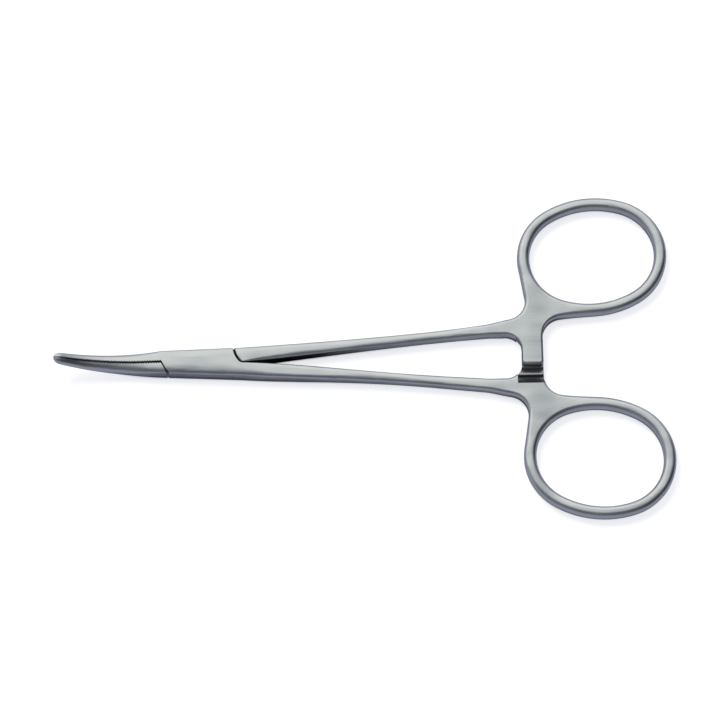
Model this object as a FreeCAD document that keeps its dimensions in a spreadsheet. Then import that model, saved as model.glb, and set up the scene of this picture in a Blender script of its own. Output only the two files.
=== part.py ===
import FreeCAD, Part
import math
import os
from FreeCAD import Vector

os.makedirs("parts", exist_ok=True)
doc = FreeCAD.newDocument("hemostat_forceps")

# Driving dimensions, millimetres and degrees. X runs from the rivet to the finger rings, the male
# half's ring is at +Y, and Z is counted from the middle plane until the pieces are lifted to rest.
sheet = doc.addObject("Spreadsheet::Sheet", "dims")
row_number = 0


def dim(alias, value, note):
    global row_number
    row_number += 1
    sheet.set("A%d" % row_number, note)
    sheet.set("B%d" % row_number, str(value))
    sheet.setAlias("B%d" % row_number, alias)


def cell(alias):
    return float(sheet.get(alias))


def bind(obj, prop, formula):
    obj.setExpression(prop, formula)


dim("box_thick", 4.0, "box lock thickness")
dim("box_front", -7.8, "front end of the box")
dim("box_back", 8.5, "back end of the box, where the shanks start")
dim("front_left", 2.48, "box edge at the front, +Y side")
dim("front_right", -2.18, "box edge at the front, -Y side")
dim("back_left", 2.88, "box edge at the back, +Y side")
dim("back_right", -3.05, "box edge at the back, -Y side")
dim("box_crown", 1.6, "width of the crowned strip along each edge of the box")
dim("box_edge", 0.5, "drop of the crown at the edge of the box")
dim("tongue_thick", 1.4, "thickness of the male tongue in the box")
dim("slot_clear", 0.05, "clearance above and below the tongue")
dim("tongue_root", 0.5, "how far the tongue runs into the male jaw")
dim("step_clear", 0.08, "half of the gap at each step of the box")
dim("front_step_angle", 29.9, "lean of the front step from the Y direction")
dim("front_wall_angle", 28.3, "lean of the slot's front wall")
dim("back_wall_angle", 36.4, "lean of the slot's back wall")
dim("back_wall_y", -0.25, "Y where the slot's back wall meets the end of the box")
dim("shoulder_top", 1.7, "back step, distance of its outer end from the end of the box")
dim("shoulder_foot", 0.3, "back step, distance of its inner end from the end of the box")
dim("shoulder_bow", 0.32, "bow of the back step")
dim("shoulder_round", 0.4, "rounding of the male half's edge at the back step")
dim("male_inner", -0.22, "inner edge of the male shank at the end of the box")
dim("female_inner", 0.45, "inner edge of the female shank there, from the middle")
dim("pin_radius", 1.1, "radius of the flush rivet")
dim("pin_clear", 0.03, "running clearance of the rivet in the tongue")
dim("jaw_bend_start", -11.0, "where the jaws start to curve up")
dim("jaw_bend_radius", 32.0, "radius of the jaw curve, side view")
dim("jaw_reach", 16.7, "X length of the curved stretch before the tip")
dim("jaw_end_width", 2.25, "width of both jaws at the end of the curve")
dim("jaw_end_thick", 1.7, "thickness of the jaws there")
dim("jaw_crown_share", 0.84, "crowned share of each jaw's width")
dim("jaw_crown_run", 9.0, "length in which the crown grows from the box to the jaws")
dim("jaw_edge_share", 0.35, "drop of the crown, share of the jaw's thickness")
dim("tip_length", 1.5, "length of the rounded tip")
dim("jaw_centre", 0.06, "Y of the parting plane of the jaws")
dim("jaw_gap", 0.08, "gap between the serrated faces at the tip")
dim("jaw_gap_box", 0.36, "gap between them at the box")
dim("serration_pitch", 0.52, "pitch of the jaw serrations")
dim("serration_depth", 0.24, "depth of the jaw serrations")
dim("serration_margin", 1.3, "plain stretch before the tip")
dim("neck_x", 16.0, "shank section behind the box, X")
dim("neck_inner_male", 0.5, "inner edge of the male shank there")
dim("neck_outer_male", 3.32, "outer edge of the male shank there")
dim("neck_inner_female", 0.66, "inner edge of the female shank there")
dim("neck_outer_female", 3.58, "outer edge of the female shank there")
dim("neck_thick", 3.62, "thickness of the shanks there")
dim("shank_x", 28.4, "shank section at mid length, X")
dim("shank_inner", 1.85, "inner edge of the shank there")
dim("shank_outer", 4.2, "outer edge of the shank there")
dim("shank_thick", 2.98, "thickness of the shank there")
dim("slim_x", 44.6, "shank section before the handle, X")
dim("slim_inner", 3.5, "inner edge of the shank there")
dim("slim_outer", 5.5, "outer edge of the shank there")
dim("shank_crown", 0.85, "width of the crowned strip along the shank edges")
dim("shank_edge", 0.5, "drop of the crown at the shank edges")
dim("handle_thick", 2.6, "thickness of handles and rings")
dim("joint_x", 57.5, "where the shank meets the handle, X")
dim("joint_y", 5.74, "where the shank meets the handle, Y")
dim("joint_width", 2.5, "shank width there")
dim("joint_angle", 6.5, "direction of the shank there, degrees")
dim("joint_round", 0.7, "edge rounding there")
dim("arm_offset", 7.7, "ratchet arm, distance of its front side from the joint")
dim("arm_width", 4.35, "width of the ratchet arm")
dim("arm_reach", 1.7, "how far the arm passes the middle")
dim("arm_round", 0.5, "edge rounding of the ratchet arm")
dim("arm_corner", 0.7, "corner radius of the arm's end, in plan")
dim("web_round", 0.8, "edge rounding of the web")
dim("web_x", 4.6, "outer web corner, centre from the joint, X")
dim("web_y", 6.46, "outer web corner, centre from the joint, Y")
dim("web_radius", 4.1, "radius of the outer web corner and of the corner by the ring")
dim("crotch_y", 4.25, "Y of the corner between arm and ring")
dim("front_radius", 3.3, "radius of the corner between shank and arm")
dim("front_y", 1.25, "Y where that corner ends on the arm")
dim("ring_offset", 10.64, "finger ring centre from the arm, X")
dim("ring_y", 21.65, "finger ring centre, Y")
dim("ring_major", 12.78, "finger hole half length")
dim("ring_minor", 10.28, "finger hole half width")
dim("ring_nose", 9.6, "radius of the finger hole's end arcs")
dim("ring_bar", 2.52, "width of the ring bar")
dim("ring_tilt", 6.5, "tilt of the ring's long axis, degrees")
dim("ring_round", 1.05, "edge rounding of the ring bar")
dim("rack_clear", 0.05, "crest height from the middle plane")
dim("rack_depth", 0.55, "depth of the ratchet teeth")
dim("rack_pitch", 1.6, "pitch of the ratchet teeth")
dim("rack_land", 0.35, "width of each tooth's crest")
dim("rack_lean", 0.1, "lean of each tooth's steep side")
dim("rack_last", 3.55, "last tooth, distance from the middle")
dim("rack_count", 4, "number of ratchet teeth")
dim("rack_front", 1.0, "how far the rack runs past the arm, toward the box")
dim("rack_back", 0.4, "how far the rack runs past the arm, toward the ring")
dim("cove_start", 4.2, "where the cove behind the rack starts")
dim("cove_length", 1.6, "length of the cove along the arm")
dim("cove_hollow", 0.15, "hollow of the cove below a straight slope")
doc.recompute()

half = cell("box_thick") / 2
thin_half = cell("handle_thick") / 2
x_ahead = Vector(1, 0, 0)
z_up = Vector(0, 0, 1)
quarter_weight = math.sqrt(0.5)


def feature(name, shape):
    obj = doc.addObject("Part::Feature", name)
    obj.Shape = shape
    return obj


def boolean(kind, name, base, tool):
    obj = doc.addObject("Part::" + kind, name)
    obj.Base = base
    obj.Tool = tool
    return obj


def join(name, parts):
    obj = doc.addObject("Part::MultiFuse", name)
    obj.Shapes = parts
    return obj


def extrude(name, face, direction, length):
    obj = doc.addObject("Part::Extrusion", name)
    obj.Base = feature(name + "_outline", face)
    obj.DirMode = "Custom"
    obj.Dir = direction
    obj.LengthFwd = length
    obj.Solid = True
    return obj


def line(first, last):
    return Part.LineSegment(first, last).toShape()


def heading(degrees):
    turn = math.radians(degrees)
    return Vector(math.cos(turn), math.sin(turn), 0)


def on_arc(centre, radius, degrees):
    return centre + heading(degrees) * radius


def arc(centre, radius, first, last):
    middle = on_arc(centre, radius, (first + last) / 2)
    return Part.Arc(on_arc(centre, radius, first), middle, on_arc(centre, radius, last)).toShape()


def quarter(start, corner, end):
    # a quarter of an ellipse that starts and ends along the two sides of its corner
    curve = Part.BezierCurve()
    curve.setPoles([start, corner, end])
    curve.setWeight(2, quarter_weight)
    return curve.toShape()


def crowned_section(low, high, thick, low_edge, high_edge, place):
    # Closed wire: local x is the width and local y is up. Each edge is a crown: its width on the
    # face and its drop on the side.
    top = thick / 2
    corners = [
        (low, -top, low_edge, 1, 1),
        (high, -top, high_edge, -1, 1),
        (high, top, high_edge, -1, -1),
        (low, top, low_edge, 1, -1),
    ]
    turns = []
    for index, (x, y, (across, drop), to_x, to_y) in enumerate(corners):
        on_side = Vector(x, y + to_y * drop, 0)
        on_face = Vector(x + to_x * across, y, 0)
        ends = (on_side, on_face) if index % 2 == 0 else (on_face, on_side)
        turns.append((ends[0], Vector(x, y, 0), ends[1]))
    edges = []
    for index, (start, corner, end) in enumerate(turns):
        edges.append(quarter(start, corner, end))
        edges.append(line(end, turns[(index + 1) % 4][0]))
    wire = Part.Wire(edges)
    wire.Placement = place
    return wire


def section_place(origin, forward):
    # local x runs sideways, local y up and local z along the piece
    side = z_up.cross(forward)
    side.normalize()
    turn = FreeCAD.Rotation(side, forward.cross(side), forward, "ZXY")
    return FreeCAD.Placement(origin, turn)


def loft(name, wires, ruled):
    obj = doc.addObject("Part::Loft", name)
    obj.Sections = [feature(name + "_s%d" % i, w) for i, w in enumerate(wires)]
    obj.Solid = True
    obj.Ruled = ruled
    return obj


# Closed blank of the box and the jaws, before it is divided in two
box_front = cell("box_front")
box_back = cell("box_back")
box_crown = (cell("box_crown"), cell("box_edge"))
front_section = crowned_section(cell("front_right"), cell("front_left"), cell("box_thick"),
                                box_crown, box_crown,
                                section_place(Vector(box_front, 0, 0), x_ahead))
back_section = crowned_section(cell("back_right"), cell("back_left"), cell("box_thick"),
                               box_crown, box_crown,
                               section_place(Vector(box_back, 0, 0), x_ahead))
box_blank = loft("box_blank", [front_section, back_section], True)

bend_start = cell("jaw_bend_start")
bend_radius = cell("jaw_bend_radius")
jaw_end = bend_start - cell("jaw_reach")
parting_y = cell("jaw_centre")


def jaw_place(x):
    # on the centre line of the jaws: straight, then an arc that curves up
    if x >= bend_start:
        return section_place(Vector(x, 0, 0), x_ahead)
    turn = math.asin((bend_start - x) / bend_radius)
    rise = bend_radius * (1 - math.cos(turn))
    return section_place(Vector(x, 0, rise), Vector(math.cos(turn), 0, -math.sin(turn)))


def jaw_wire(x, width, thick):
    # the narrow crowned strips of the box widen until they nearly meet on the jaws
    grown = min((box_front - x) / cell("jaw_crown_run"), 1)
    full = (width / 2 * cell("jaw_crown_share"), thick * cell("jaw_edge_share"))
    crown = [narrow + (wide - narrow) * grown for narrow, wide in zip(box_crown, full)]
    return crowned_section(parting_y - width / 2, parting_y + width / 2, thick, crown, crown,
                           jaw_place(x))


def taper(x, first, last):
    # the jaws narrow and thin evenly from the box to the end of the curve
    share = (x - box_front) / (jaw_end - box_front)
    return first + (last - first) * share


front_width = cell("front_left") - cell("front_right")
jaw_wires = [front_section.copy()]
for share in (0, 0.17, 0.42, 0.7, 1):
    x = bend_start + (jaw_end - bend_start) * share
    jaw_wires.append(jaw_wire(x, taper(x, front_width, cell("jaw_end_width")),
                              taper(x, cell("box_thick"), cell("jaw_end_thick"))))
jaw_blank = loft("jaw_blank", jaw_wires, False)
tip_wires = []
for along in (0, 0.4, 0.7, 0.9, 0.98):
    shrink = math.sqrt(1 - along * along)
    tip_wires.append(jaw_wire(jaw_end - cell("tip_length") * along,
                              cell("jaw_end_width") * shrink, cell("jaw_end_thick") * shrink))
tip_blank = loft("tip_blank", tip_wires, False)
blank = join("closed_blank", [box_blank, jaw_blank, tip_blank])

# Plan outlines that divide the blank between the two halves
far = cell("back_left") - cell("back_right")
beyond_tip = jaw_end - 2 * cell("tip_length")
beyond_box = box_back + cell("step_clear")
tall = bend_radius
clear = cell("step_clear")
male_inner = cell("male_inner")
female_inner = -cell("female_inner")


def jaw_half_gap(x):
    share = (x - jaw_end) / (box_front - jaw_end)
    return (cell("jaw_gap") + (cell("jaw_gap_box") - cell("jaw_gap")) * max(share, 0)) / 2


def serrated(side, last_x):
    # the face of one jaw in plan, from beyond the tip to the box: side -1 male, +1 female
    pitch = cell("serration_pitch")
    swing = cell("serration_depth") / 2
    points = [(beyond_tip, parting_y + side * jaw_half_gap(beyond_tip))]
    x = jaw_end + cell("serration_margin")
    while x + 1.5 * pitch < box_front:
        points.append((x, parting_y + side * jaw_half_gap(x) - swing))
        points.append((x + pitch / 2, parting_y + side * jaw_half_gap(x) + swing))
        x += pitch
    points.append((x, parting_y + side * jaw_half_gap(x)))
    points.append((last_x, parting_y + side * jaw_half_gap(box_front)))
    return points


def prism(name, edges_or_points, low, high):
    if isinstance(edges_or_points[0], tuple):
        corners = [Vector(x, y, 0) for x, y in edges_or_points]
        wire = Part.makePolygon(corners + corners[:1])
    else:
        wire = Part.Wire(edges_or_points)
    wire.translate(Vector(0, 0, low))
    return extrude(name, Part.Face(wire), z_up, high - low)


def jaw_zone(name, side):
    # all of the blank on the male jaw's side of the parting line and the front step
    shift = side * clear
    foot = box_front + shift + far * math.tan(math.radians(cell("front_step_angle")))
    points = serrated(side, box_front + shift) + [(foot, -far), (beyond_tip, -far)]
    return prism(name, points, -tall, tall)


shoulder_start = Vector(box_back - cell("shoulder_top"), cell("back_left"), 0)
shoulder_end = Vector(box_back - cell("shoulder_foot"), male_inner, 0)


def shoulder_zone(name, side, inner):
    # behind the back step, above the inner edge of the shank: side -1 male, +1 female
    shift = Vector(-side * clear, 0, 0)
    start = shoulder_start + shift
    end = shoulder_end + shift
    chord = end - start
    bow = Vector(chord.y, -chord.x, 0)
    bow.normalize()
    middle = (start + end) / 2 + bow * cell("shoulder_bow")
    inner_start = Vector(end.x + (male_inner - inner), inner, 0)
    beyond = Vector(beyond_box + cell("shoulder_foot"), inner, 0)
    top_right = Vector(beyond.x, far, 0)
    top_left = Vector(start.x, far, 0)
    edges = [line(top_left, start), Part.Arc(start, middle, end).toShape()]
    if inner != male_inner:
        edges.append(line(end, inner_start))
    edges += [line(edges[-1].Vertexes[-1].Point, beyond), line(beyond, top_right),
              line(top_right, top_left)]
    return prism(name, edges, -tall, tall)


def tongue_zone(name, side, inner, thick):
    # the tongue's own outline, or the slot that it swings in: side -1 tongue, +1 slot
    shift = side * clear
    root_x = box_front - cell("tongue_root")
    root_y = parting_y - cell("jaw_gap_box")
    wall_x = box_front - shift + far * math.tan(math.radians(cell("front_wall_angle")))
    lean = math.tan(math.radians(cell("back_wall_angle")))
    inner_x = box_back + shift + (inner - cell("back_wall_y")) * lean
    foot_x = box_back + shift + (-far - cell("back_wall_y")) * lean
    points = [(root_x, -far), (root_x, root_y),
              (box_front - shift, parting_y + side * jaw_half_gap(box_front)),
              (wall_x, far), (beyond_box, far), (beyond_box, inner), (inner_x, inner),
              (foot_x, -far)]
    return prism(name, points, -thick / 2, thick / 2)


tongue_thick = cell("tongue_thick")
slot_thick = tongue_thick + 2 * cell("slot_clear")
male_zone = join("male_zone", [
    jaw_zone("male_jaw_zone", -1),
    shoulder_zone("male_shoulder_zone", -1, male_inner),
    tongue_zone("male_tongue_zone", -1, male_inner, tongue_thick),
])
female_cut = join("female_cut", [
    jaw_zone("female_jaw_cut", 1),
    shoulder_zone("female_shoulder_cut", 1, female_inner),
    tongue_zone("female_slot_cut", 1, female_inner, slot_thick),
])
male_block = boolean("Common", "male_block", blank, male_zone)
female_head = boolean("Cut", "female_head", blank, female_cut)
doc.recompute()


def on_shoulder(edge):
    # the edges between the back step and the upper and lower faces of the male half
    middle = edge.valueAt((edge.FirstParameter + edge.LastParameter) / 2)
    spots = [vertex.Point for vertex in edge.Vertexes] + [middle]
    return all(shoulder_start.x < spot.x < box_back - clear and abs(spot.z) > half / 2
               for spot in spots)


male_head = doc.addObject("Part::Fillet", "male_head")
male_head.Base = male_block
male_head.Edges = [(number, cell("shoulder_round"), cell("shoulder_round"))
                   for number, edge in enumerate(male_block.Shape.Edges, 1) if on_shoulder(edge)]

# Shanks: sections at the box, the neck, mid length, before the handle and at the joint
joint = Vector(cell("joint_x"), cell("joint_y"), 0)
joint_angle = cell("joint_angle")
shank_crown = (cell("shank_crown"), cell("shank_edge"))
sharp = (clear, clear)


def shank(name, side, box_inner, box_outer, neck_inner, neck_outer):
    stations = [
        (box_back, box_inner, box_outer, cell("box_thick"), sharp, box_crown),
        (cell("neck_x"), neck_inner, neck_outer, cell("neck_thick"), shank_crown, shank_crown),
        (cell("shank_x"), cell("shank_inner"), cell("shank_outer"), cell("shank_thick"),
         shank_crown, shank_crown),
        (cell("slim_x"), cell("slim_inner"), cell("slim_outer"), cell("handle_thick"),
         shank_crown, shank_crown),
    ]
    wires = []
    for x, inner, outer, thick, inner_edge, outer_edge in stations:
        place = section_place(Vector(x, 0, 0), x_ahead)
        if side > 0:
            wires.append(crowned_section(inner, outer, thick, inner_edge, outer_edge, place))
        else:
            wires.append(crowned_section(-outer, -inner, thick, outer_edge, inner_edge, place))
    reach = cell("joint_width") / 2
    rounding = (cell("joint_round"), cell("joint_round"))
    place = section_place(Vector(joint.x, side * joint.y, 0), heading(side * joint_angle))
    wires.append(crowned_section(-reach, reach, cell("handle_thick"), rounding, rounding, place))
    return loft(name, wires, False)


male_shank = shank("male_shank", 1, male_inner, cell("back_left"),
                   cell("neck_inner_male"), cell("neck_outer_male"))
female_shank = shank("female_shank", -1, -female_inner, -cell("back_right"),
                     cell("neck_inner_female"), cell("neck_outer_female"))

# Handle outline: shank end, web, finger ring and ratchet arm in one closed curve
tilt = cell("ring_tilt")
arm_left = joint.x + cell("arm_offset")
arm_right = arm_left + cell("arm_width")
arm_end = -cell("arm_reach")
ring_centre = Vector(arm_right + cell("ring_offset"), cell("ring_y"), 0)
ring_x_way = heading(tilt)
ring_y_way = heading(tilt + 90)

# The finger hole is an oval of two end arcs and two side arcs, tangent to each other
nose = cell("ring_nose")
nose_shift = cell("ring_major") - nose
side_gain = cell("ring_minor") - nose
side_shift = (nose_shift ** 2 - side_gain ** 2) / (2 * side_gain)
side_radius = cell("ring_minor") + side_shift
turn_over = math.degrees(math.atan2(side_shift, nose_shift))
right_nose = ring_centre + ring_x_way * nose_shift
left_nose = ring_centre - ring_x_way * nose_shift
top_side = ring_centre - ring_y_way * side_shift
bottom_side = ring_centre + ring_y_way * side_shift


def ring_arc(centre, radius, first, last):
    return arc(centre, radius, first + tilt, last + tilt)


def heading_blend(first, first_way, last, last_way):
    # a smooth curve between two points that keeps the direction at both
    curve = Part.BSplineCurve()
    size = (last - first).Length
    curve.interpolate(Points=[first, last], InitialTangent=first_way * size,
                      FinalTangent=last_way * size)
    return curve.toShape()


hole = [
    ring_arc(right_nose, nose, -turn_over, turn_over),
    ring_arc(top_side, side_radius, turn_over, 180 - turn_over),
    ring_arc(left_nose, nose, 180 - turn_over, 180 + turn_over),
    ring_arc(bottom_side, side_radius, 180 + turn_over, 360 - turn_over),
]
rim_nose = nose + cell("ring_bar")
rim_side = side_radius + cell("ring_bar")
# Angles at which the outline leaves its arcs: the rim at the web and at the arm, the web's outer
# corner at both ends, the corner between arm and ring, and the corner between shank and arm
leave_web = 184
leave_arm = 268
web_low = -80
web_high = 10
crotch_high = 97
front_high = 94
across_joint = heading(joint_angle + 90) * (cell("joint_width") / 2)
joint_outer = joint + across_joint
joint_inner = joint - across_joint
web_radius = cell("web_radius")
web_corner = joint + Vector(cell("web_x"), cell("web_y"), 0)
crotch = Vector(arm_right + web_radius, cell("crotch_y"), 0)
front_radius = cell("front_radius")
front_corner = Vector(arm_left - front_radius, cell("front_y"), 0)
arm_corner = cell("arm_corner")
web_first = on_arc(web_corner, web_radius, web_low)
web_last = on_arc(web_corner, web_radius, web_high)
crotch_last = on_arc(crotch, web_radius, crotch_high)
front_last = on_arc(front_corner, front_radius, front_high)
rim_start = on_arc(left_nose, rim_nose, leave_web + tilt)
rim_end = on_arc(bottom_side, rim_side, leave_arm + tilt)
end_left = Vector(arm_left + arm_corner, arm_end + arm_corner, 0)
end_right = Vector(arm_right - arm_corner, arm_end + arm_corner, 0)
outline = [
    heading_blend(joint_outer, heading(joint_angle), web_first, heading(web_low + 90)),
    arc(web_corner, web_radius, web_low, web_high),
    heading_blend(web_last, heading(web_high + 90), rim_start, heading(leave_web + tilt - 90)),
    ring_arc(left_nose, rim_nose, 180 - turn_over, leave_web),
    ring_arc(top_side, rim_side, turn_over, 180 - turn_over),
    ring_arc(right_nose, rim_nose, -turn_over, turn_over),
    ring_arc(bottom_side, rim_side, leave_arm, 360 - turn_over),
    heading_blend(crotch_last, heading(crotch_high - 90), rim_end,
                  heading(leave_arm + tilt + 90)),
    arc(crotch, web_radius, crotch_high, 180),
    line(crotch - x_ahead * web_radius, end_right + x_ahead * arm_corner),
    arc(end_right, arm_corner, -90, 0),
    line(on_arc(end_right, arm_corner, -90), on_arc(end_left, arm_corner, -90)),
    arc(end_left, arm_corner, -180, -90),
    line(end_left - x_ahead * arm_corner, front_corner + x_ahead * front_radius),
    arc(front_corner, front_radius, 0, front_high),
    heading_blend(joint_inner, heading(joint_angle), front_last, heading(front_high - 90)),
    line(joint_outer, joint_inner),
]
outer_wire = Part.Wire(Part.__sortEdges__(outline))
plate_face = Part.makeFace([outer_wire, Part.Wire(hole)], "Part::FaceMakerBullseye")
plate_face.translate(Vector(0, 0, -thin_half))
handle_plate = extrude("handle_plate", plate_face, z_up, 2 * thin_half)
bind(handle_plate, "LengthFwd", "dims.handle_thick")
doc.recompute()

# Edge rounding changes along the outline: each corner point has its own radius
corner_radii = [
    (joint_outer, cell("joint_round")), (joint_inner, cell("joint_round")),
    (web_first, cell("web_round")), (web_last, cell("web_round")),
    (front_last, cell("web_round")), (crotch_last, cell("web_round")),
]


def corner_radius(point):
    flat = Vector(point.x, point.y, 0)
    for corner, radius in corner_radii:
        if (flat - corner).Length < clear:
            return radius
    if flat.x < arm_right + clear and flat.y < cell("crotch_y") + clear:
        return cell("arm_round")
    return cell("ring_round")


rounded = doc.addObject("Part::Fillet", "handle_rounded")
rounded.Base = handle_plate
rounding_rows = []
for number, edge in enumerate(handle_plate.Shape.Edges, 1):
    upright = edge.BoundBox.ZLength > clear
    middle = edge.valueAt((edge.FirstParameter + edge.LastParameter) / 2)
    at_joint = (Vector(middle.x, middle.y, 0) - joint).Length < clear
    if not upright and not at_joint:
        first, last = [corner_radius(vertex.Point) for vertex in edge.Vertexes]
        rounding_rows.append((number, first, last))
rounded.Edges = rounding_rows
doc.recompute()

mirrored = doc.addObject("Part::Mirroring", "handle_mirrored")
mirrored.Source = rounded
mirrored.Normal = Vector(0, 1, 0)


def rack_cut(name, side):
    # side +1 clears the underside of the male arm, side -1 the upper side of the female arm
    crest = cell("rack_clear")
    root = crest + cell("rack_depth")
    start = cell("cove_start")
    end = start + cell("cove_length")
    below = 2 * thin_half
    points = [(start, crest + cell("rack_depth") / 4)]
    for index in range(int(cell("rack_count"))):
        edge_y = cell("rack_last") - index * cell("rack_pitch")
        points.append((edge_y + cell("rack_lean"), root))
        points.append((edge_y, crest))
        points.append((edge_y - cell("rack_land"), crest))
    points += [(-2 * cell("arm_reach"), crest), (-2 * cell("arm_reach"), -below), (end, -below),
               (end, -thin_half)]
    x = arm_left - cell("rack_front")

    def at(y, z):
        return Vector(x, side * y, side * z)

    chord = Vector(0, points[-1][0] - points[0][0], points[-1][1] - points[0][1])
    hollow = Vector(0, -chord.z, chord.y)
    hollow.normalize()
    centre_y = (points[0][0] + points[-1][0]) / 2 + hollow.y * cell("cove_hollow")
    centre_z = (points[0][1] + points[-1][1]) / 2 + hollow.z * cell("cove_hollow")
    edges = [Part.Arc(at(*points[-1]), at(centre_y, centre_z), at(*points[0])).toShape()]
    for first, last in zip(points, points[1:]):
        edges.append(line(at(*first), at(*last)))
    return extrude(name, Part.Face(Part.Wire(edges)), x_ahead,
                   cell("rack_front") + cell("arm_width") + cell("rack_back"))


male_handle = boolean("Cut", "male_handle", rounded, rack_cut("male_rack", 1))
female_handle = boolean("Cut", "female_handle", mirrored, rack_cut("female_rack", -1))

# Rivet, ground flush with the crowned faces, and its holes
rivet_bar = doc.addObject("Part::Cylinder", "rivet_bar")
bind(rivet_bar, "Radius", "dims.pin_radius")
bind(rivet_bar, "Height", "dims.box_thick")
bind(rivet_bar, "Placement.Base.z", "-dims.box_thick / 2")
pin = boolean("Common", "pivot_pin", rivet_bar, blank)
tight = doc.addObject("Part::Cylinder", "rivet_hole")
bind(tight, "Radius", "dims.pin_radius")
bind(tight, "Height", "2 * dims.box_thick")
bind(tight, "Placement.Base.z", "-dims.box_thick")
loose = doc.addObject("Part::Cylinder", "tongue_hole")
bind(loose, "Radius", "dims.pin_radius + dims.pin_clear")
bind(loose, "Height", "2 * dims.box_thick")
bind(loose, "Placement.Base.z", "-dims.box_thick")

male_whole = join("male_whole", [male_head, male_shank, male_handle])
female_whole = join("female_whole", [female_head, female_shank, female_handle])
male = boolean("Cut", "male_half", male_whole, loose)
female = boolean("Cut", "female_half", female_whole, tight)
for obj in (male, female, pin):
    bind(obj, "Placement.Base.z", "dims.box_thick / 2")
male.Label = "male_half"
female.Label = "female_half"
pin.Label = "pivot_pin"
doc.recompute()

for obj in doc.Objects:
    if "Invalid" in obj.State or "Error" in obj.State:
        raise RuntimeError("failed object: " + obj.Name)
for obj in (female, male, pin):
    shape = obj.Shape
    if shape.isNull() or not shape.isValid() or len(shape.Solids) != 1:
        raise RuntimeError("bad shape: %s, %d solids" % (obj.Label, len(shape.Solids)))
    shape.exportStep("parts/" + obj.Label + ".step")
    box = shape.BoundBox
    print(obj.Label, "volume %.1f" % shape.Volume,
          "x %.2f %.2f y %.2f %.2f z %.2f %.2f" % (box.XMin, box.XMax, box.YMin, box.YMax,
                                                   box.ZMin, box.ZMax))
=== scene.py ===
# %% [markdown]
# A curved haemostatic forceps of satin steel, closed and lying on a pale surface. The two halves and
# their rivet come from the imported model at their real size, so this lesson is about three things: how
# brushed steel is described with nodes, how a measured mesh is shaded so that its rounded edges read
# as rounded, and how a plain room is designed for a bright metal that mirrors it.

# %% Load the measured model
import bmesh
import bpy
import math
from mathutils import Matrix, Vector

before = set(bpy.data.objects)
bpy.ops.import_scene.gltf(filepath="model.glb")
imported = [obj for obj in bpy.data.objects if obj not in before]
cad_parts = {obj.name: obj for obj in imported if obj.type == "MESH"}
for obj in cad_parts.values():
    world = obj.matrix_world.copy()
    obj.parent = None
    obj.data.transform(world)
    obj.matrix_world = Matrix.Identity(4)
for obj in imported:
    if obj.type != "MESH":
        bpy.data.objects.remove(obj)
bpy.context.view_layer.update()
halves = [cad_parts[name] for name in ("female_half", "male_half")]
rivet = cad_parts["pivot_pin"]
print("nodes", sorted(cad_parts))

# %% [markdown]
# The camera looks down on the forceps from the side of the lower ring, twenty degrees off the
# vertical, from about three quarters of a metre. A long lens keeps both rings nearly the same size,
# and the picture is turned by one degree, as the instrument lies a little askew.

# %% Camera
MM = 0.001
PICTURE_PIXELS = 720
MM_PER_PIXEL = 0.2026
SENSOR_WIDTH = 36
aim = Vector((32.42, 0.26, 2.0)) * MM
off_vertical = math.radians(20.0)
distance = 745 * MM
turned = math.radians(-1.12)
picture_width = PICTURE_PIXELS * MM_PER_PIXEL * MM
camera_data = bpy.data.cameras.new("camera")
camera = bpy.data.objects.new("camera", camera_data)
bpy.context.scene.collection.objects.link(camera)
camera.location = aim + Vector((0, -math.sin(off_vertical), math.cos(off_vertical))) * distance
lean = Matrix.Rotation(off_vertical, 3, "X") @ Matrix.Rotation(turned, 3, "Z")
camera.rotation_euler = lean.to_euler()
camera_data.sensor_width = SENSOR_WIDTH
camera_data.lens = SENSOR_WIDTH * distance / picture_width
camera_data.clip_start = 0.01
bpy.context.scene.camera = camera
print("lens", round(camera_data.lens, 1), "mm")

# %% [markdown]
# Shader maths reads better as sums than as boxes and wires. This small class holds one output
# socket, and adding to it or multiplying it adds the Math node that does it. Any other node comes
# from `add`, which sets the node's own settings first and its inputs after that.

# %% Node helpers
class Sock:
    def __init__(self, tree, socket):
        self.tree = tree
        self.socket = socket

    def _math(self, operation, *values):
        return add(self.tree, "ShaderNodeMath", {"operation": operation}, dict(enumerate(values)))

    def __add__(self, other):
        return self._math("ADD", self, other)

    def __radd__(self, other):
        return self._math("ADD", other, self)

    def __sub__(self, other):
        return self._math("SUBTRACT", self, other)

    def __rsub__(self, other):
        return self._math("SUBTRACT", other, self)

    def __mul__(self, other):
        return self._math("MULTIPLY", self, other)

    def __rmul__(self, other):
        return self._math("MULTIPLY", other, self)

    def size(self):
        return self._math("ABSOLUTE", self)

    def root(self):
        return self._math("SQRT", self)

    def direction(self, x):
        return self._math("ARCTAN2", self, x)


def add(tree, kind, settings=None, inputs=None, out=0):
    node = tree.nodes.new(kind)
    for name, value in (settings or {}).items():
        setattr(node, name, value)
    for name, value in (inputs or {}).items():
        if isinstance(value, Sock):
            tree.links.new(value.socket, node.inputs[name])
        else:
            node.inputs[name].default_value = value
    return Sock(tree, node.outputs[out])


def split(value):
    parts = add(value.tree, "ShaderNodeSeparateXYZ", {}, {0: value}, 0)
    outputs = parts.socket.node.outputs
    return [Sock(value.tree, outputs[i]) for i in range(3)]


def new_material(name):
    material = bpy.data.materials.new(name)
    material.use_nodes = True
    material.node_tree.nodes.clear()
    return material, material.node_tree


def finish_material(tree, shader):
    output = tree.nodes.new("ShaderNodeOutputMaterial")
    tree.links.new(shader.socket, output.inputs["Surface"])


def between(value, low, high):
    # 0 below low, 1 above high, smooth in between
    ends = {"Value": value, "From Min": low, "From Max": high}
    return add(value.tree, "ShaderNodeMapRange", {"interpolation_type": "SMOOTHSTEP"}, ends)


def mix_number(factor, first, second):
    ends = {0: factor, 2: first, 3: second}
    return add(factor.tree, "ShaderNodeMix", {"data_type": "FLOAT"}, ends)


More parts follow.
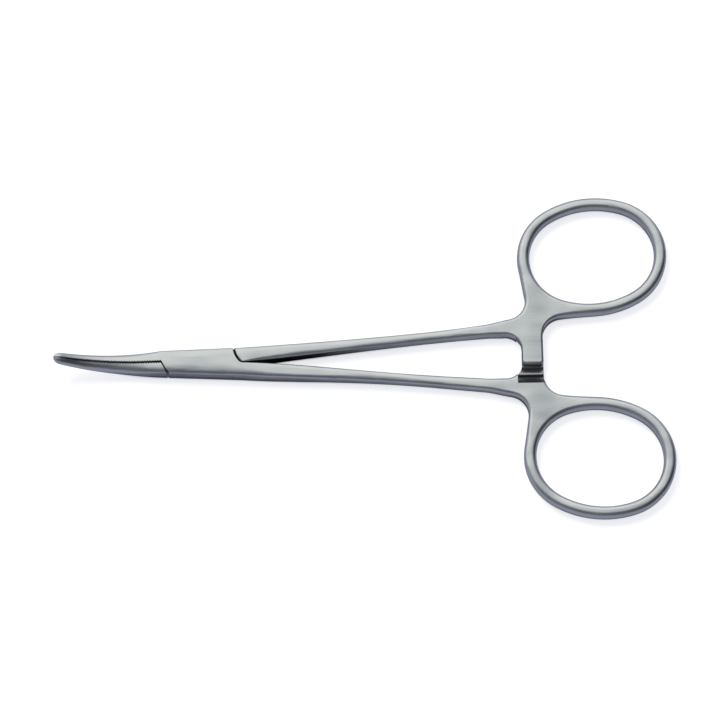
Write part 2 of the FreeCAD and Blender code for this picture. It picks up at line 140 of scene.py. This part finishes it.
def mix_colour(factor, first, second):
    ends = {0: factor, 6: first, 7: second}
    return add(factor.tree, "ShaderNodeMix", {"data_type": "RGBA"}, ends, 2)


def vector(tree, x, y, z):
    return add(tree, "ShaderNodeCombineXYZ", {}, {0: x, 1: y, 2: z})


def noise(where, scale, detail=2.0, rough=0.5):
    values = {"Vector": where, "Scale": scale, "Detail": detail, "Roughness": rough}
    return add(where.tree, "ShaderNodeTexNoise", {}, values)


# %% [markdown]
# Satin instrument steel is ground, then brushed: along the jaws, the box and the shanks and straight
# on over the ratchet arms, but round the finger rings. The fine lines are noise, squeezed to five
# lines per millimetre across and stretched along. On the rings the noise is laid out by distance and
# angle from the ring's centre, so that the lines bend with the bar. Both halves share one material,
# because a mirrored half has the same layout on the other side of the middle: the maths reads the
# size of Y, not its sign. Two broader noises stand for hand polishing, which leaves faint patches
# and very shallow waves.

# %% Brushed lines
MIDDLE_Z = 2.0
RING_X = 80.19
RING_Y = 21.65
FINE = 5.0
LONG = 0.16
ROUND = 2.2
steel, tree = new_material("satin_steel")
here = add(tree, "ShaderNodeTexCoord", {}, {}, "Object")
x, y, z = (part * 1000 for part in split(here))
side = y.size()
dx = x - RING_X
dy = side - RING_Y
radius = (dx * dx + dy * dy).root()
angle = dy.direction(dx)
on_ring = between(x + side, 76.0, 84.0)

along = noise(vector(tree, x * LONG, y * FINE, z * FINE), 1.0, 3.0, 0.6)
around = noise(vector(tree, radius * FINE, angle * ROUND, z * FINE), 1.0, 3.0, 0.6)
brushed = mix_number(on_ring, along, around)
patches = noise(vector(tree, x * 0.12, y * 0.3, z * 0.3), 1.0, 2.0)
waves = noise(vector(tree, x * 0.10, y * 0.16, z * 0.16), 1.0, 1.0)
print("lines, patches and waves:", len(tree.nodes), "nodes")

# %% [markdown]
# Dark lines are what makes the box lock and the teeth readable. The gaps themselves are in the
# measured model, but they are a tenth of a millimetre wide, and on the real steel they hold shadow.
# So shade is painted on the outer faces right beside the zigzag line between the jaws, the straight
# front step and the bowed rear step. Faces inside a gap, which point sideways, get only a faint
# painted shade, so that the opened jaws show ribbed steel. The ratchet's teeth get a dull painted
# shade. The places are worked out from the same few sizes that shape the solids, in millimetres.

# %% Painted shade beside the gaps
PARTING_Y = 0.06
BOX_FRONT = -7.8
STEP_LEAN = 0.569
SHOULDER_START = Vector((6.8, 2.88))
SHOULDER_END = Vector((8.2, -0.22))
SHOULDER_BOW = 0.32
FIRST_GROOVE = -26.4
GROOVE_PITCH = 0.52
GROOVE_SWING = 0.12
folded = {0: x - FIRST_GROOVE, 1: GROOVE_PITCH / 2}
zigzag = add(tree, "ShaderNodeMath", {"operation": "PINGPONG"}, folded) * (4 / GROOVE_PITCH) - 1
grooved = between(x, FIRST_GROOVE - 0.3, FIRST_GROOVE)
from_parting = (y - PARTING_Y - zigzag * grooved * GROOVE_SWING).size()
line_width = between(x, -29.0, -22.0) * 0.14 + 0.09 + zigzag.size() * grooved * 0.06
in_jaws = between(x, -29.3, -29.0) * between(x, BOX_FRONT + 0.2, BOX_FRONT)
on_teeth = in_jaws * between(from_parting - line_width, 0.05, 0.0)
straight_across = math.cos(math.atan(STEP_LEAN))
from_step = (x - BOX_FRONT + (y - PARTING_Y) * STEP_LEAN).size() * straight_across
step_width = between(y, -1.2, -2.1) * 0.10 + 0.13
on_step = between(from_step - step_width, 0.05, 0.0) * between(y, PARTING_Y + 0.2, PARTING_Y)
chord = SHOULDER_END - SHOULDER_START
shoulder_radius = (chord.length ** 2 / 4 + SHOULDER_BOW ** 2) / (2 * SHOULDER_BOW)
into_bow = Vector((-chord.y, chord.x)).normalized() * (shoulder_radius - SHOULDER_BOW)
bow_centre = (SHOULDER_START + SHOULDER_END) / 2 + into_bow
bx = x - bow_centre.x
by = y - bow_centre.y
inside_bow = shoulder_radius - (bx * bx + by * by).root()
by_shoulder = between(x, 5.5, 6.3) * between(x, 8.9, 8.7) * between(y, -0.4, -0.2)
on_shoulder = by_shoulder * between(inside_bow.size(), 0.19, 0.12)
bevel_drop = by_shoulder * between(inside_bow, 0.50, 0.12) * between(inside_bow, -0.1, 0.0) * 0.16
in_rack = between(x, 63.9, 64.1) * between(x, 70.3, 70.1) * between(side, 6.2, 5.6)
on_rack = in_rack * between((z - MIDDLE_Z).size(), 1.25, 1.1)
facing = add(tree, "ShaderNodeTexCoord", {}, {}, "Normal")
outer_face = between(split(facing)[2].size(), 0.25, 0.55)
beside_gap = 1 - (1 - on_teeth) * (1 - on_step) * (1 - on_shoulder)
# painted shade beside the gaps: strong on faces that point up or down, faint on sideways faces
painted_gap_shade = beside_gap * mix_number(outer_face, 0.25, 0.92)
print("rear step's bow radius", round(shoulder_radius, 2), "mm")

# %% [markdown]
# The finish itself is a plain metal: a pale, faintly green grey that varies a little with the brushing.
# Roughness follows the same noise, since a duller patch is a rougher one. The bump holds the lines at a
# height of two thousandths of a millimetre, the shallow waves, the ground bevel beside the rear step and
# a slight fall of the ratchet arms towards the rings. Shapes that can be seen from the side are in the
# solids, never in the bump.

# %% Satin steel
tone = brushed * 0.5 + patches * 0.5
clean = mix_colour(between(tone, 0.35, 0.65), (0.57, 0.585, 0.59, 1), (0.67, 0.685, 0.68, 1))
# painted shade on the ratchet teeth: a dull dark grey over the steel colour
rack_painted_shade = mix_colour(on_rack * 0.6, clean, (0.16, 0.165, 0.175, 1))
colour = mix_colour(painted_gap_shade, rack_painted_shade, (0.02, 0.021, 0.023, 1))
rough = brushed * 0.12 + patches * 0.10 + 0.20
arm_drop = between(x, 66.0, 72.0) * 0.35
height = brushed * 0.0023 + waves * 0.30 - bevel_drop - arm_drop
bump = add(tree, "ShaderNodeBump", {}, {"Strength": 1.0, "Distance": 1 * MM, "Height": height})
surface = {"Base Color": colour, "Metallic": 1.0, "Roughness": rough, "Normal": bump}
shader = add(tree, "ShaderNodeBsdfPrincipled", {}, surface)
finish_material(tree, shader)
print(steel.name, "has", len(tree.nodes), "nodes")

# %% [markdown]
# The measured meshes are loose triangles, which shade as flat facets. A small geometry tree welds
# them, marks shallow edges as smooth and leaves the real corners sharp, and a weighted normal after
# it keeps the flat faces flat right up to their rounded edges. Both are modifiers, so the measured
# mesh underneath is untouched.

# %% Smooth the rounded edges
WELD = 0.001 * MM
SHARP_FROM = math.radians(28)


def smoothing_tree(limit):
    group = bpy.data.node_groups.new("weld_and_smooth", "GeometryNodeTree")
    group.interface.new_socket("Geometry", in_out="INPUT", socket_type="NodeSocketGeometry")
    group.interface.new_socket("Geometry", in_out="OUTPUT", socket_type="NodeSocketGeometry")
    start = group.nodes.new("NodeGroupInput")
    end = group.nodes.new("NodeGroupOutput")
    weld = group.nodes.new("GeometryNodeMergeByDistance")
    weld.inputs["Distance"].default_value = WELD
    faces = group.nodes.new("GeometryNodeSetShadeSmooth")
    faces.domain = "FACE"
    faces.inputs["Shade Smooth"].default_value = True
    edges = group.nodes.new("GeometryNodeSetShadeSmooth")
    edges.domain = "EDGE"
    bend = group.nodes.new("GeometryNodeInputMeshEdgeAngle")
    test = group.nodes.new("FunctionNodeCompare")
    test.operation = "LESS_THAN"
    test.inputs[1].default_value = limit
    link = group.links.new
    link(start.outputs[0], weld.inputs["Geometry"])
    link(weld.outputs[0], faces.inputs["Geometry"])
    link(faces.outputs[0], edges.inputs["Geometry"])
    link(bend.outputs["Unsigned Angle"], test.inputs[0])
    link(test.outputs[0], edges.inputs["Shade Smooth"])
    link(edges.outputs[0], end.inputs[0])
    return group


smoothing = smoothing_tree(SHARP_FROM)
for piece in halves + [rivet]:
    piece.data.materials.clear()
    piece.data.materials.append(steel)
    piece.modifiers.new("weld and smooth", "NODES").node_group = smoothing
    weighted = piece.modifiers.new("weighted normals", "WEIGHTED_NORMAL")
    weighted.keep_sharp = True
    weighted.mode = "FACE_AREA"
    weighted.weight = 60
    print(piece.name, len(piece.data.polygons), "triangles")

# %% [markdown]
# The floor is plain white and keeps a faint shadow. A diffuse surface under this light would come out
# grey, so for the camera it also glows, except in the last millimetre around the instrument, where the
# ambient occlusion node finds the steel close by: that fade is a painted contact shadow. Glossy rays
# see another glow, dim and slightly blue, which fades within five millimetres of the steel, a painted
# half shade: the side walls mirror only that strip of paper, which the instrument itself keeps in half
# shade.

# %% Floor
FLOOR_SIZE = 6.0
FLOOR_DROP = 0.02 * MM
CONTACT_REACH = 1.4 * MM
SIDE_REACH = 5.0 * MM
floor_mesh = bmesh.new()
bmesh.ops.create_grid(floor_mesh, x_segments=1, y_segments=1, size=FLOOR_SIZE / 2,
                      matrix=Matrix.Translation((0, 0, -FLOOR_DROP)))
floor_data = bpy.data.meshes.new("floor")
floor_mesh.to_mesh(floor_data)
floor_mesh.free()
floor = bpy.data.objects.new("floor", floor_data)
bpy.context.scene.collection.objects.link(floor)
paper, tree = new_material("white_paper")
for_camera = add(tree, "ShaderNodeLightPath", {}, {}, "Is Camera Ray")
for_gloss = add(tree, "ShaderNodeLightPath", {}, {}, "Is Glossy Ray")
occlusion = "ShaderNodeAmbientOcclusion"
contact = add(tree, occlusion, {"samples": 8}, {"Distance": CONTACT_REACH}, "AO")
beside = add(tree, occlusion, {"samples": 8}, {"Distance": SIDE_REACH}, "AO")
# the camera glow fades where the steel is close: a painted contact shadow
white = for_camera * between(contact, 0, 0.62) * 0.8
# for glossy rays the floor glows dim blue grey and fades near the steel: painted half shade
painted_half_shade = between(beside, 0.50, 0.85)
lit = add(tree, "ShaderNodeBsdfDiffuse", {}, {"Color": (0.40, 0.40, 0.40, 1)})
glow = add(tree, "ShaderNodeEmission", {}, {"Color": (0.97, 0.975, 1.0, 1), "Strength": white})
seen = add(tree, "ShaderNodeAddShader", {}, {0: lit, 1: glow})
painted_shaded_floor = add(tree, "ShaderNodeEmission", {}, {"Color": (0.37, 0.385, 0.49, 1), "Strength": painted_half_shade})
finish_material(tree, add(tree, "ShaderNodeMixShader", {}, {0: for_gloss, 1: seen, 2: painted_shaded_floor}))
floor_data.materials.append(paper)
print("floor", FLOOR_SIZE, "m wide")

# %% [markdown]
# Bright metal shows the room and not the lamp, so the room is what gets designed. A wide soft glow
# stands behind the instrument, a little to the left, in the direction that the flat faces mirror to
# the camera. It fades through a veil of half its strength to dusk just past the zenith, so a face that
# leans to the front turns grey and then dark, and the crowned edges read as rounded. The dusk is
# deepest on the right. Low down, in front and behind, the room is a pale blue grey again.

# %% Room light
GLOW_WAY = (-0.25, 0.83, 0.50)
room = bpy.data.worlds.new("room")
bpy.context.scene.world = room
room.use_nodes = True
tree = room.node_tree
tree.nodes.clear()
way = add(tree, "ShaderNodeTexCoord", {}, {}, "Generated")
toward_glow = add(tree, "ShaderNodeVectorMath", {"operation": "DOT_PRODUCT"},
                  {0: way, 1: GLOW_WAY}, "Value")
way_x, way_y, way_z = split(way)
front_wall = mix_colour(between(way_z, 0.64, 0.40), (0.14, 0.145, 0.16, 1), (0.30, 0.315, 0.385, 1))
dusk = mix_colour(between(way_x, 0.1, 0.7), front_wall, (0.035, 0.037, 0.042, 1))
veil = mix_colour(between(toward_glow, 0.28, 0.55), dusk, (0.37, 0.39, 0.45, 1))
sky = mix_colour(between(toward_glow, 0.50, 0.85), veil, (1.08, 1.11, 1.08, 1))
behind = mix_colour(between(way_y, 0.45, 0.85), dusk, (0.50, 0.51, 0.60, 1))
low = mix_colour(between(way_y, 0.05, -0.35), behind, (0.37, 0.385, 0.49, 1))
around_us = mix_colour(between(way_z, 0.08, 0.45), low, sky)
background = add(tree, "ShaderNodeBackground", {}, {"Color": around_us, "Strength": 1.0})
output = tree.nodes.new("ShaderNodeOutputWorld")
tree.links.new(background.socket, output.inputs["Surface"])
print("room has", len(tree.nodes), "nodes")

# %% [markdown]
# One lamp gives the soft shadow that holds the instrument to the floor. It hangs a metre away, near the
# zenith, slightly behind and to the left, as the glow does. Glossy rays don't see it, or it would
# stand in every upper face as a bright disk.

# %% A soft lamp for the shadow
LAMP_WAY = Vector((-0.30, 0.30, 0.90)).normalized()
LAMP_WIDTH = 0.35
LAMP_WATTS = 4.0
lamp_data = bpy.data.lights.new("shadow_lamp", "AREA")
lamp_data.shape = "DISK"
lamp_data.size = LAMP_WIDTH
lamp_data.energy = LAMP_WATTS
lamp = bpy.data.objects.new("shadow_lamp", lamp_data)
bpy.context.scene.collection.objects.link(lamp)
lamp.location = aim + LAMP_WAY
lamp.rotation_euler = LAMP_WAY.to_track_quat("Z", "Y").to_euler()
lamp.visible_glossy = False
bpy.context.scene.view_settings.view_transform = "Standard"
print("lamp", LAMP_WATTS, "W")
